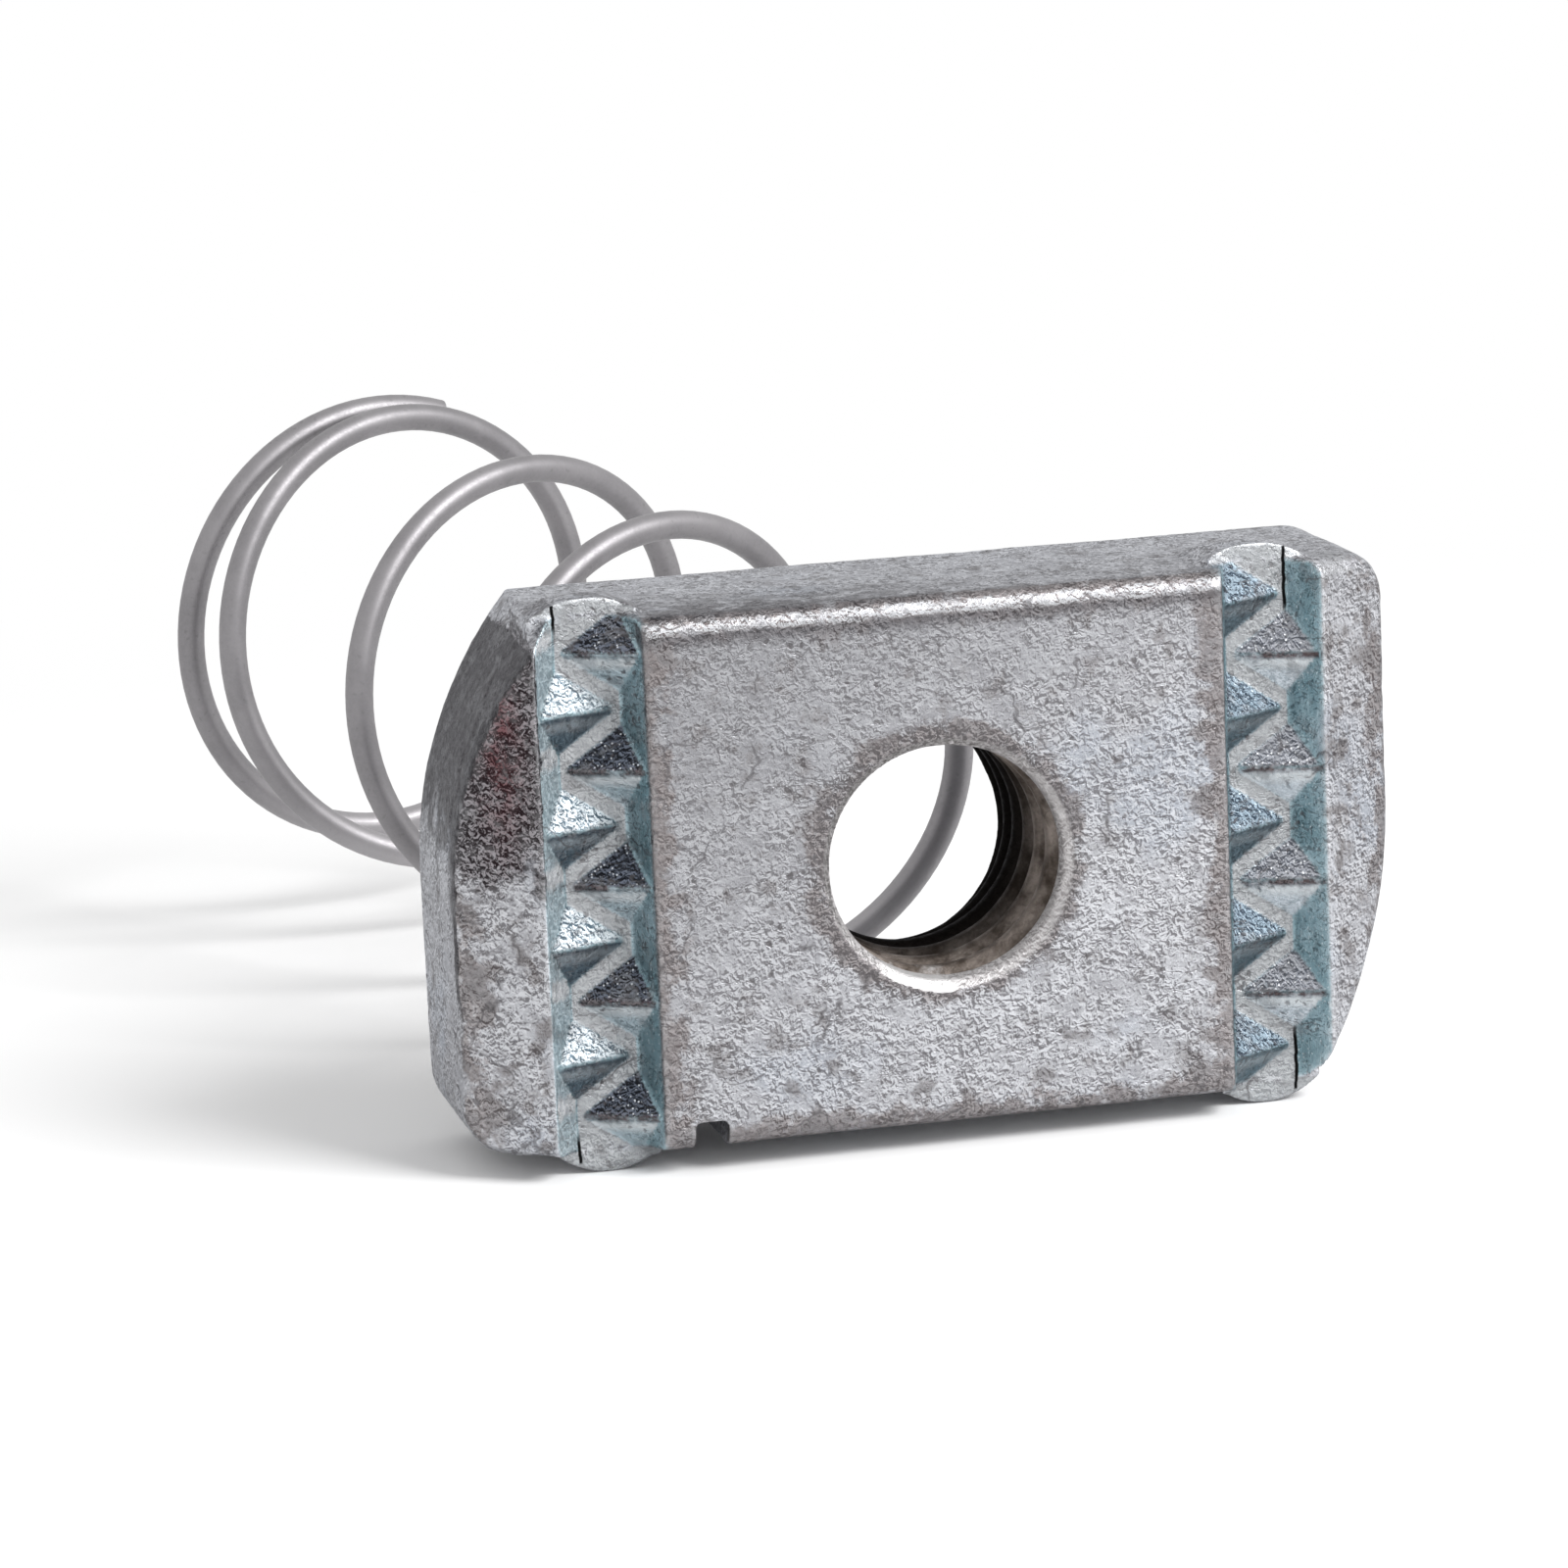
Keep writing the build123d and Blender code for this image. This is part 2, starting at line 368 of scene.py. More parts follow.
contrast = 2.2
middle = np.stack([spread(co[:, axis]) for axis in range(3)], 1)
length = spread(np.linalg.norm(co - middle, axis=1)) + 0.05
bulge = ((co - middle) * no).sum(1) / length
for _ in range(2):
    bulge = 0.5 * bulge + 0.5 * spread(bulge)
# dirt and painted shade in the corners
keep("crease", -bulge * contrast)
print("bulge runs from", round(float(bulge.min()), 2), "to", round(float(bulge.max()), 2))

# %% [markdown]
# ## The grooves
# Nothing rubs inside the grooves, so their walls and teeth keep the plating's blue tone. The flat
# zigzag between the teeth is bare smooth grey, and so are the fronts of the swells. A groove is
# everything between the land and the leaning wall of the shoulder that lies below the land's face.

# %% Masks of the grooves
blend = 0.05  # half the width of a mask's soft border
wall_foot, wall_lean = 14.0, 0.65  # the shoulder's wall, and how far it leans for each mm it rises

in_groove = between(side, land_end - blend, land_end + blend)
in_groove *= between(-side, -groove_end - blend, -groove_end + blend)
in_groove *= between(depth, 0.12, 0.3) * (depth < 3.5) * between(-np.abs(height), -9.95, -9.8)
wall_line = wall_lean * (groove_depth - depth)
in_groove *= between(-side, -wall_foot - blend - wall_line, -wall_foot + blend - wall_line)
floor = between(-no[:, 1], 0.93, 0.97) * between(depth, 1.2, 1.4)
swell_face = (side > land_end) & (np.abs(height) > 9.95) & (no[:, 1] < -0.6)
keep("groove", in_groove * (1 - floor))
keep("calm", np.maximum(in_groove * floor, swell_face))
print(int((in_groove > 0.5).sum()), "points lie in the grooves")

# %% [markdown]
# ## The faces of the teeth
# Each tooth has a face that looks up and one that looks down. By groove and by row they get painted
# light and shade over the plating's tint: painted shade with painted glints, a painted highlight, a
# half-lit grey, and pale faces. A point's facing tells which one it lies on, so every kind of face
# gets a mask. The crests between them get a dark line, with a painted pale strip just below it.

# %% Masks of the tooth faces
inner = np.sign(co[:, 0]) * no[:, 0] > 0.05  # teeth of the row on the land
up = between(no[:, 2], 0.15, 0.35)
down = between(-no[:, 2], 0.15, 0.35)
toothed = in_groove * (1 - floor) * (np.abs(no[:, 0]) < 0.62)
# painted light and shade on the upward tooth faces, one mask for each groove and row
keep("blue_shaded_facet", toothed * up * (~left & inner))
keep("dark_facet", toothed * up * (left & inner))
keep("grey_facet", toothed * up * (~left & ~inner))
keep("bright_facet", toothed * up * (left & ~inner))
# painted light and painted shade on the downward tooth faces
pale_share = np.select([left & inner, ~left & ~inner], [0.45, 1.0], 0.0)
keep("pale_facet", toothed * down * pale_share)
deep_share = np.select([left & ~inner, ~left & inner], [1.0, 0.75], 0.0)
keep("deep_facet", toothed * down * deep_share)

crest_width = 0.2
crest_shift = 0.06  # the dark line lies this far below the crest
shifted = height + np.where(inner, 0, tooth_pitch / 2)
from_crest = np.mod(shifted + tooth_pitch / 2, tooth_pitch) - tooth_pitch / 2 + crest_shift
crested = in_groove * (1 - floor) * (np.abs(no[:, 0]) < 0.75)
crested *= between(-np.abs(from_crest), -crest_width, -0.08)
crest_share = np.select([left & inner, left & ~inner, ~left & inner], [0.95, 0.4, 0.3], 1.0)
keep("crest", crested * crest_share)
# painted pale strip just below each crest
strip = toothed * between(-from_crest, 0.12, 0.2) * between(from_crest, -0.75, -0.35)
keep("under_crest", strip * np.where(left == inner, 1.0, 0.3))
print(int((toothed > 0.5).sum()), "of them on the teeth")

# %% [markdown]
# ## Inside the hole
# Old cutting oil turns the thread brown-black, and a painted shade makes it darker with depth. The
# smooth part at the front is a bright lip, a thin dirty ring runs round its edge on the face, and
# low in the mouth a painted highlight stands for the wall catching the light. Points whose skin
# faces the thread's axis are the hole's.

# %% Masks of the hole
from_axis = np.hypot(co[:, 0], co[:, 2])
facing_in = -(no[:, 0] * co[:, 0] + no[:, 2] * co[:, 2]) / np.maximum(from_axis, 0.1)
in_hole = between(facing_in, 0.1, 0.35) * (from_axis < 6.3)
keep("bore", in_hole * between(depth, 0.6, 1.3) * between(-depth, -9.4, -9.2))
# painted shade: the thread darkens with depth
keep("bore_deep", between(depth, 2.4, 6.5))
keep("bore_all", in_hole * (depth > 0.3))
keep("lip", in_hole * between(-depth, -1.5, -0.7) * between(depth, 0.02, 0.12))
keep("rim", between(-from_axis, -5.5, -5.0) * between(-depth, -0.25, -0.1))
# painted highlight low in the mouth of the hole
below_mouth = between(-co[:, 2] / np.maximum(from_axis, 0.1), 0.75, 0.92)
glow = below_mouth * between(-co[:, 0], -0.9, 0.5) * between(-depth, -2.4, -0.9) * in_hole
keep("bore_glow", glow)
print(int((in_hole > 0.5).sum()), "points line the hole")

# %% [markdown]
# ## Rubbed ridges and painted edge highlights
# What stands out is rubbed pale in the barrel, and the same pale line is a painted highlight on the
# edges. The bulge measured for the corners gives it straight away, but the tooth crests, the
# thread, the corners of the swells and the top of the land's upper edge get less, so their share is
# taken off.

# %% Mask of the ridges
swell_corner = (np.abs(height) > 9.6) * between(side, 10.2, 10.5) * between(-side, -14.9, -14.6)
on_roll = (height > 8.6) * (side < land_end) * 0.4
# wear and painted highlight on the edges
ridge = bulge * contrast * (1 - 0.85 * crested) * (1 - in_hole)
keep("ridge", ridge * (1 - 0.55 * swell_corner) * (1 - on_roll))
print(int((ridge > 0.1).sum()), "points stand out enough to be rubbed")

# %% [markdown]
# ## Stains, dirt and painted shade
# The bath dried as a brown-grey stain along the land's borders, round the hole and at the shoulders'
# ends. The upper part of the left end gets a painted dark reflection, with a red-brown painted
# reflection on its shoulder. The top side is dirty towards the front, and a painted shade darkens
# the land slightly towards its upper left.

# %% Masks of stains, dirt and shade
land = (side < land_end + 0.2) & (depth < 0.6)
shoulder = (side > groove_end - 0.1) & (no[:, 1] < -0.3)
to_side = land_end - side
to_edge = long_side - np.abs(height)
stain = np.where(land, between(-to_side, -1.5, -0.1), 0.0)
stain = np.maximum(stain, np.where(land, 0.9 * between(-to_edge, -1.5, -0.2), 0))
shoulder_stain = np.where(left, 0.15, 0.2) + 0.45 * between(side, 16.4, 17.6)
stain = np.maximum(stain, np.where(shoulder, shoulder_stain, 0))
stain = np.maximum(stain, np.where(land, 0.75 * between(-from_axis, -5.7, -4.9), 0))
keep("stain", stain)
# painted dark reflection on the upper part of the left end and on its shoulder
end_reflection_share = 0.75 * between(height, 5.0, 8.5) * between(-depth, -9.5, -6.5)
dark_reflection_share = np.where(shoulder, between(height, -2.5, 3.5), end_reflection_share)
keep("dark_reflection_share", dark_reflection_share * left * (side > groove_end - 0.1))
top = between(no[:, 2], 0.6, 0.9) * (height > 9.0)
towards_left = 0.3 + 0.7 * between(-co[:, 0], -4.0, 6.0)
keep("top_dirt", top * between(-depth, -6.0, -1.0) * towards_left)
# painted red-brown reflection on the left shoulder
patch_x, patch_z, patch_width, patch_height = -16.1, 5.6, 0.75, 3.3
patch = np.exp(-(((co[:, 0] - patch_x) / patch_width) ** 2) - ((height - patch_z) / patch_height) ** 2)
keep("red_painted_reflection", patch * shoulder)
# painted shade: the land is drawn darker towards its upper left
land_painted_shade = between(0.6 * height / long_side - 0.4 * co[:, 0] / land_end, -0.5, 0.9)
keep("land_painted_shade", land_painted_shade * (side < land_end + 0.1) * (depth < 0.8))
print(int((stain > 0.5).sum()), "points are stained")

# %% [markdown]
# ## Cracks and rolled edges
# Where a groove runs out between the shoulder's wall and the swell, the metal tore a little. The
# crack is narrower than the skin's faces, so here only the place is marked, and the material draws
# the line. The long upper edge and the right corner were rolled smooth, and a painted highlight
# lies on them, with a thin dirty line below.

# %% Masks of cracks and rolled edges
crack_start = np.where(left, 9.1, 7.7)
torn = between(np.abs(height), crack_start, crack_start + 0.5) * (np.abs(height) < 10.35)
torn *= (np.abs(side - crack_line) < 0.6) * (depth > 1.0) * (depth < 3.0)
keep("torn", torn)
# painted highlight on the rolled upper edge and the right corner
rolled = between(no[:, 2], 0.06, 0.25) * between(-no[:, 2], -0.8, -0.5) * between(-no[:, 1], 0.3, 0.5)
rolled *= (height > 8.6) * (depth < 1.3) * ((side < land_end) | (side > groove_end + 0.1))
right_corner = ~left & (side > groove_end + 0.05) & (height > 8.7) & (depth < 2.6)
corner_flash = right_corner * between(no[:, 2], 0.12, 0.3) * between(-side, -16.6, -15.4)
keep("rolled", np.maximum(rolled, corner_flash))
keep("under_roll", land * between(height, 8.5, 9.1) * between(-no[:, 2], -0.2, -0.05))
print(int((torn > 0.5).sum()), "points may show a crack")

# %% [markdown]
# ## The left groove's outer wall and the left end
# The shoulder's wall in the left groove is drawn pale, with a painted highlight above each tooth
# of the outer row. Behind the shoulder, the end wall is dark near its front edge, and its upper
# part gets a painted dark reflection.

# %% Masks of the outer wall and the end
outer_wall = in_groove * left * (np.sign(co[:, 0]) * no[:, 0] < -0.62)
keep("outer_wall", outer_wall)
flash_rise, flash_height = 2.75, 0.5  # above a tooth of the outer row, and its own reach
above_crest = np.mod(height - tooth_pitch / 2 - flash_rise + tooth_pitch / 2, tooth_pitch)
above_crest = above_crest - tooth_pitch / 2
# painted highlight above each tooth of the outer row
keep("wall_flash", outer_wall * np.exp(-((above_crest / flash_height) ** 2)))

edge_depth, edge_fall, edge_run = 0.45, 1.95, 3.05  # the shoulder's slope down to its end
behind_shoulder = depth - edge_depth - (side - groove_end) * edge_fall / edge_run
end_wall = left & (side > groove_end) & (no[:, 1] > -0.45) & (no[:, 1] < 0.5)
# the end wall is drawn dark near its front edge, and its upper part gets a painted dark reflection
end_line = between(-behind_shoulder, -0.75, -0.3) * between(height, -9.0, 1.0)
keep("end_line", end_wall * np.maximum(end_line, between(height, -1.0, 5.5)))
strip = between(-behind_shoulder, -1.3, -0.5) * between(height, -4.0, 3.0)
keep("end_strip", end_wall * strip)
print("masks:", sorted(a.name for a in skin.attributes if a.data_type == "FLOAT"))

# %% [markdown]
# ## Handing the skin over
# The skin goes back to metres and takes the CAD nut's place on its body. A copy that replaces the
# node is safer than an edited node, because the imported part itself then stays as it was. Smooth
# shading hides the last of the small faces.

# %% The skin takes the nut's place
skin.transform(Matrix.Scale(mm, 4))
for face in skin.polygons:
    face.use_smooth = True
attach(nut, "root")
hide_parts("nut")
print(nut.name, "stands for the CAD nut")

# %% [markdown]
# ## Helpers for materials
# A material is a small tree of steps, each fed by the ones before it. It could be joined up by hand
# in the shader editor, but a tree of this size is easier to read as text. These helpers add one
# step each: any node, a mix of two colours, a stretched value, a sum, a mask read from the mesh.

# %% Steps of a material
def step(tree, kind, sockets=None, **settings):
    """Add one node. A socket takes a number, a colour or another node's output."""
    made = tree.nodes.new("ShaderNode" + kind)
    for name, value in settings.items():
        setattr(made, name, value)
    for name, value in (sockets or {}).items():
        if isinstance(value, bpy.types.NodeSocket):
            tree.links.new(value, made.inputs[name])
        else:
            made.inputs[name].default_value = value
    return made


def mixed(tree, mask, plain, other):
    """A colour that goes from plain to other as the mask goes from 0 to 1."""
    made = step(tree, "Mix", data_type="RGBA", blend_type="MIX")
    for index, value in ((0, mask), (6, plain), (7, other)):
        if isinstance(value, bpy.types.NodeSocket):
            tree.links.new(value, made.inputs[index])
        else:
            made.inputs[index].default_value = (*value, 1)
    return made.outputs[2]


def ranged(tree, value, start, end, low=0.0, high=1.0):
    """The value's run from start to end, spread from low to high."""
    sockets = {"Value": value, "From Min": start, "From Max": end, "To Min": low, "To Max": high}
    return step(tree, "MapRange", sockets, interpolation_type="SMOOTHSTEP").outputs[0]


def reckoned(tree, way, one, other):
    """Two numbers put together, such as ADD, MULTIPLY or MAXIMUM."""
    return step(tree, "Math", {0: one, 1: other}, operation=way).outputs[0]


def noted(tree, name):
    """The number that the mesh keeps under this name."""
    return step(tree, "Attribute", attribute_name=name).outputs["Fac"]


def bent(tree, where, noise, reach):
    """The place, pushed this way and that by a noise's colour, by up to reach metres."""
    push = step(tree, "VectorMath", {0: noise, 1: (reach, reach, reach)}, operation="MULTIPLY")
    return step(tree, "VectorMath", {0: where, 1: push.outputs[0]}, operation="ADD").outputs[0]


print("5 kinds of step, and one way to bend a place")

# %% [markdown]
# ## Groups
# The nut and the spring are both plated steel, so they share two effects. Copying the steps into
# both materials would let them drift apart. A node group keeps an effect in one place, with sockets
# for what differs, and gives out only numbers, so that each material decides on its own colours.

# %% Making and placing a group
def new_group(name, inputs, outputs):
    """An empty node group with number inputs (name: value) and number outputs."""
    group = bpy.data.node_groups.new(name, "ShaderNodeTree")
    for label, value in inputs.items():
        socket = group.interface.new_socket(label, in_out="INPUT", socket_type="NodeSocketFloat")
        socket.default_value = value
    for label in outputs:
        group.interface.new_socket(label, in_out="OUTPUT", socket_type="NodeSocketFloat")
    return group, group.nodes.new("NodeGroupInput"), group.nodes.new("NodeGroupOutput")


def placed(tree, group, **values):
    """One use of a group in a material, with its own values."""
    made = step(tree, "Group")
    made.node_tree = group
    for name, value in values.items():
        made.inputs[name.replace("_", " ")].default_value = value
    return made


print("groups are made and placed by two helpers")

# %% [markdown]
# ## Grain
# Plated and drawn steel both have a fine grain: small patches a little lighter or darker than the
# rest, with a relief that breaks up every reflection. Noise at two sizes gives it. The same noise
# read a little to one side shows which way each grain slopes, and that slope becomes a painted light
# on one side of each grain and a painted shade on the other. Sizes are in millimetres.

# %% Group: grain
grain, given, out = new_group(
    "metal_grain", {"Patch size": 2.5, "Grain size": 0.3}, ("Patches", "Grain", "Relief", "Height")
)
ramp = partial(ranged, grain)
where = step(grain, "TexCoord").outputs["Object"]
patch_scale = reckoned(grain, "DIVIDE", 1 / mm, given.outputs["Patch size"])
grain_scale = reckoned(grain, "DIVIDE", 1 / mm, given.outputs["Grain size"])
soft_noise = {"Scale": patch_scale, "Detail": 4.0, "Roughness": 0.6}
crisp_noise = {"Scale": grain_scale, "Detail": 5.0, "Roughness": 0.7, "Distortion": 0.6}
calm_noise = {"Scale": 0.8 / mm, "Detail": 4.0, "Roughness": 0.65}
to_one_side = (0.03 * mm, 0.02 * mm, 0.06 * mm)

patches = step(grain, "TexNoise", {"Vector": where, **soft_noise}).outputs["Fac"]
grains = step(grain, "TexNoise", {"Vector": where, **crisp_noise}).outputs["Fac"]
aside = step(grain, "VectorMath", {0: where, 1: to_one_side}, operation="ADD").outputs[0]
beside = step(grain, "TexNoise", {"Vector": aside, **crisp_noise}).outputs["Fac"]
slope = reckoned(grain, "SUBTRACT", grains, beside)
calmer = step(grain, "TexNoise", {"Vector": where, **calm_noise}).outputs["Fac"]
slope = reckoned(grain, "MULTIPLY", slope, ramp(calmer, 0.4, 0.62, 0.4, 1.7))
# Relief: painted light on one side of each grain and painted shade on the other, not a bump
grain.links.new(ramp(slope, -0.12, 0.12), out.inputs["Relief"])
grain.links.new(ramp(patches, 0.33, 0.67), out.inputs["Patches"])
grain.links.new(ramp(grains, 0.3, 0.7), out.inputs["Grain"])
grain.links.new(grains, out.inputs["Height"])
print("group", grain.name)

# %% [markdown]
# ## Pits, scratches and painted glints
# Tumbled parts carry small dark pits and short hair scratches in every direction. Single crystals of
# the plating flash like dust, and here those flashes are painted highlights. A cell texture gives the
# pits, and the painted glints where a cell's own random number is high enough. A noise that is long
# one way and thin the other gives the scratches. A slow noise thins the pits and scratches out here
# and there, so they don't cover the metal evenly.

# %% Group: pits and glints
wear_and_glints, given, out = new_group(
    "surface_wear_and_glints",
    {"Pit size": 0.45, "Amount": 0.5, "Glint size": 0.16},
    ("Pits", "Scratches", "Hairlines", "Glints", "Height"),
)
ramp = partial(ranged, wear_and_glints)
times, larger = partial(reckoned, wear_and_glints, "MULTIPLY"), partial(reckoned, wear_and_glints, "MAXIMUM")
where = step(wear_and_glints, "TexCoord").outputs["Object"]
zone = step(wear_and_glints, "TexNoise", {"Vector": where, "Scale": 0.4 / mm, "Detail": 2.0}).outputs["Fac"]
zone = times(ramp(zone, 0.38, 0.6, 0.3, 1.0), given.outputs["Amount"])
bend = step(wear_and_glints, "TexNoise", {"Vector": where, "Scale": 2.2 / mm, "Detail": 3.0}).outputs["Color"]
crooked = bent(wear_and_glints, where, bend, 0.5 * mm)


def chosen_cells(tree, vector, size, share, near, far):
    """1 in the middle of a random share of cells that are size millimetres across."""
    scale = reckoned(tree, "DIVIDE", 1 / mm, size)
    cells = step(tree, "TexVoronoi", {"Vector": vector, "Scale": scale})
    shape = ranged(tree, cells.outputs["Distance"], far, near)
    lot = step(tree, "SeparateColor", {"Color": cells.outputs["Color"]}).outputs["Red"]
    return reckoned(tree, "MULTIPLY", shape, ranged(tree, lot, 1 - share, 1.03 - share))


pit = times(chosen_cells(wear_and_glints, crooked, given.outputs["Pit size"], 0.3, 0.16, 0.36), zone)
# painted glints: bright specks that stand for crystals catching the light
glint = chosen_cells(wear_and_glints, where, given.outputs["Glint size"], 0.22, 0.2, 0.42)
wear_and_glints.links.new(pit, out.inputs["Pits"])
wear_and_glints.links.new(glint, out.inputs["Glints"])
print("group", wear_and_glints.name, "with pits and glints")

# %% [markdown]
# ## Lines of the same group
# Three sets of scratches are turned against each other. Hairlines are the fine dark web where the
# plating has cracked, and chips are short angular marks. Both are the borders between cells, broken
# up by a noise so that no cell is closed. They could be drawn one by one, but thousands are needed.

# %% Group: scratches and hairlines
scratch_turns = (0.5, 1.9, -0.8)
scratch_shape = (0.8, 1.0, 7.5)  # short across, long along

lines = None
for turned in scratch_turns:
    tilt = {"Vector": crooked, "Rotation": (0.2, turned, 0.1), "Scale": scratch_shape}
    swung = step(wear_and_glints, "Mapping", tilt).outputs[0]
    hair = step(wear_and_glints, "TexNoise", {"Vector": swung, "Scale": 0.9 / mm, "Detail": 1.5})
    line = ramp(hair.outputs["Fac"], 0.66, 0.71)
    lines = line if lines is None else larger(lines, line)
lines = times(lines, zone)

sweep = {"Vector": where, "Scale": 0.3 / mm, "Detail": 4.0, "Roughness": 0.6}
swept = bent(wear_and_glints, where, step(wear_and_glints, "TexNoise", sweep).outputs["Color"], 3 * mm)
web = step(wear_and_glints, "TexVoronoi", {"Vector": swept, "Scale": 0.2 / mm}, feature="DISTANCE_TO_EDGE")
broken = step(wear_and_glints, "TexNoise", {"Vector": where, "Scale": 0.45 / mm, "Detail": 3.0}).outputs["Fac"]
hairline = times(ramp(web.outputs["Distance"], 0.016, 0.003), ramp(broken, 0.5, 0.58))

chips = step(wear_and_glints, "TexVoronoi", {"Vector": crooked, "Scale": 1.5 / mm}, feature="DISTANCE_TO_EDGE")
few = {"Vector": where, "Scale": 1.7 / mm, "Detail": 4.0, "Roughness": 0.7}
sparse = step(wear_and_glints, "TexNoise", few).outputs["Fac"]
chip = times(ramp(chips.outputs["Distance"], 0.10, 0.03), ramp(sparse, 0.54, 0.62))
lines = larger(lines, times(chip, zone))

wear_and_glints.links.new(times(hairline, given.outputs["Amount"]), out.inputs["Hairlines"])
wear_and_glints.links.new(lines, out.inputs["Scratches"])
sunk = larger(pit, times(lines, 0.5))
wear_and_glints.links.new(reckoned(wear_and_glints, "SUBTRACT", 1.0, sunk), out.inputs["Height"])
print("group", wear_and_glints.name, "has", len(wear_and_glints.nodes), "steps")

# %% [markdown]
# ## Zinc plate
# Bright zinc with a thin blue passivation is a metal, so the look comes from its colour, its
# roughness and what it reflects. A dry, tumbled plating also shines less at a glancing view than a
# clean mirror would, and the tint of the edge reflection says that. The colour starts as two greys
# in patches, with the grain's painted light and shade on top, the land's stains, and a painted shade
# that darkens the land towards its upper left.

# %% Material: zinc plate, base and stains
dark_zinc, light_zinc, blue_cloud = (0.36, 0.362, 0.384), (0.48, 0.486, 0.513), (0.35, 0.40, 0.475)
grain_painted_shade, grain_painted_light = (0.115, 0.11, 0.118), (0.70, 0.71, 0.74)
painted_shade_zinc = (0.16, 0.158, 0.165)
pale_stain, dark_stain = (0.26, 0.228, 0.222), (0.075, 0.059, 0.056)

zinc = bpy.data.materials.new("zinc_plate")
zinc.use_nodes = True
tree = zinc.node_tree
metal = tree.nodes["Principled BSDF"]
metal.inputs["Metallic"].default_value = 0.92
metal.inputs["Specular Tint"].default_value = (0.68, 0.69, 0.71, 1.0)
mix, ramp, mask = partial(mixed, tree), partial(ranged, tree), partial(noted, tree)
plus, times = partial(reckoned, tree, "ADD"), partial(reckoned, tree, "MULTIPLY")

look = placed(tree, grain, Patch_size=1.6, Grain_size=0.24)
marks_and_glints = placed(tree, wear_and_glints, Pit_size=0.4, Amount=0.85, Glint_size=0.12)
# slope carries the grain's painted light and shade; where it picks a pale and a dark tone below, that
# choice is painted
patches, grains, slope = look.outputs["Patches"], look.outputs["Grain"], look.outputs["Relief"]
glints = marks_and_glints.outputs["Glints"]
where = step(tree, "TexCoord").outputs["Object"]
cloud = step(tree, "TexNoise", {"Vector": where, "Scale": 0.16 / mm, "Detail": 2.0}).outputs["Fac"]
torn_noise = {"Vector": where, "Scale": 0.9 / mm, "Detail": 6.0, "Roughness": 0.62}
ragged = step(tree, "TexNoise", torn_noise).outputs["Fac"]

colour = mix(patches, dark_zinc, light_zinc)
colour = mix(ramp(cloud, 0.52, 0.66, 0, 0.4), colour, blue_cloud)
# painted shade and painted light on the grains
colour = mix(ramp(slope, 0.58, 0.84, 0, 0.8), colour, grain_painted_shade)
colour = mix(ramp(slope, 0.42, 0.18, 0, 0.62), colour, grain_painted_light)
# painted shade on the land towards its upper left
colour = mix(times(mask("land_painted_shade"), 0.55), colour, painted_shade_zinc)
reach = plus(mask("stain"), ramp(ragged, 0.3, 0.7, -0.7, 0.4))
stained = mix(slope, pale_stain, dark_stain)
colour = mix(ramp(reach, 0.05, 0.6, 0, 0.75), colour, stained)
print("zinc starts with", len(tree.nodes), "steps")

# %% [markdown]
# ## Zinc in the grooves
# The grooves keep the blue of the passivation, sprinkled with painted glints and the grain's painted
# shade. Over it come the pale outer wall with its painted highlights, and the smooth grey of the
# zigzag floor. Separate materials on picked faces could do it, but their borders would be hard, and a
# mask gives a soft one.

# %% Material: zinc plate, grooves
deep_blue, pale_blue = (0.25, 0.375, 0.42), (0.42, 0.55, 0.60)
blue_glint, blue_grain_shade = (0.8, 0.85, 0.87), (0.06, 0.09, 0.10)
pale_wall_light, pale_wall_dark = (0.80, 0.90, 0.94), (0.50, 0.60, 0.64)
floor_pale, floor_dark = (0.45, 0.465, 0.475), (0.26, 0.27, 0.28)
white = (1.0, 1.0, 1.0)

groove_blue = mix(patches, deep_blue, pale_blue)
# painted glints on the groove blue
groove_blue = mix(times(glints, 0.5), groove_blue, blue_glint)
# painted shade of the grain on the groove blue
groove_blue = mix(ramp(slope, 0.7, 1.0, 0, 0.6), groove_blue, blue_grain_shade)
colour = mix(mask("groove"), colour, groove_blue)
pale_wall = mix(slope, pale_wall_light, pale_wall_dark)
colour = mix(mask("outer_wall"), colour, pale_wall)
smooth_grey = mix(slope, floor_pale, floor_dark)
colour = mix(times(mask("calm"), 0.85), colour, smooth_grey)
# painted highlight: white flashes on the left groove's outer wall
flash = plus(mask("wall_flash"), ramp(ragged, 0.3, 0.7, -0.3, 0.2))
colour = mix(ramp(flash, 0.25, 0.8), colour, white)
print("and", len(tree.nodes), "with the grooves")

# %% [markdown]
# ## Zinc on the teeth
# Each kind of tooth face gets its painted light and shade as a pale and a dark tone, and the grain's
# slope chooses between them, so that the faces look crystalline. The faces in painted shade are
# nearly black with painted glints on them. The crests get their dark line last, broken up so that it
# isn't even.

# %% Material: zinc plate, tooth faces
pale_speck, dim_speck = (0.66, 0.71, 0.76), (0.36, 0.41, 0.45)
deep_speck, deep_dark = (0.13, 0.175, 0.21), (0.055, 0.08, 0.10)
blue_shade_pale, blue_shade_dark = (0.26, 0.325, 0.38), (0.035, 0.05, 0.07)
blue_shade_glint = (0.66, 0.74, 0.8)
highlit_pale, highlit_dark = (0.50, 0.54, 0.565), (0.055, 0.08, 0.10)
half_lit_pale, half_lit_dark, half_lit_glint = (0.38, 0.39, 0.425), (0.07, 0.075, 0.09), (0.85, 0.86, 0.88)
night_pale, night_dark, night_glint = (0.15, 0.17, 0.215), (0.009, 0.010, 0.014), (0.66, 0.68, 0.72)
under_crest_pale = (0.62, 0.65, 0.67)
crest_pale, crest_dark = (0.085, 0.045, 0.045), (0.012, 0.007, 0.008)

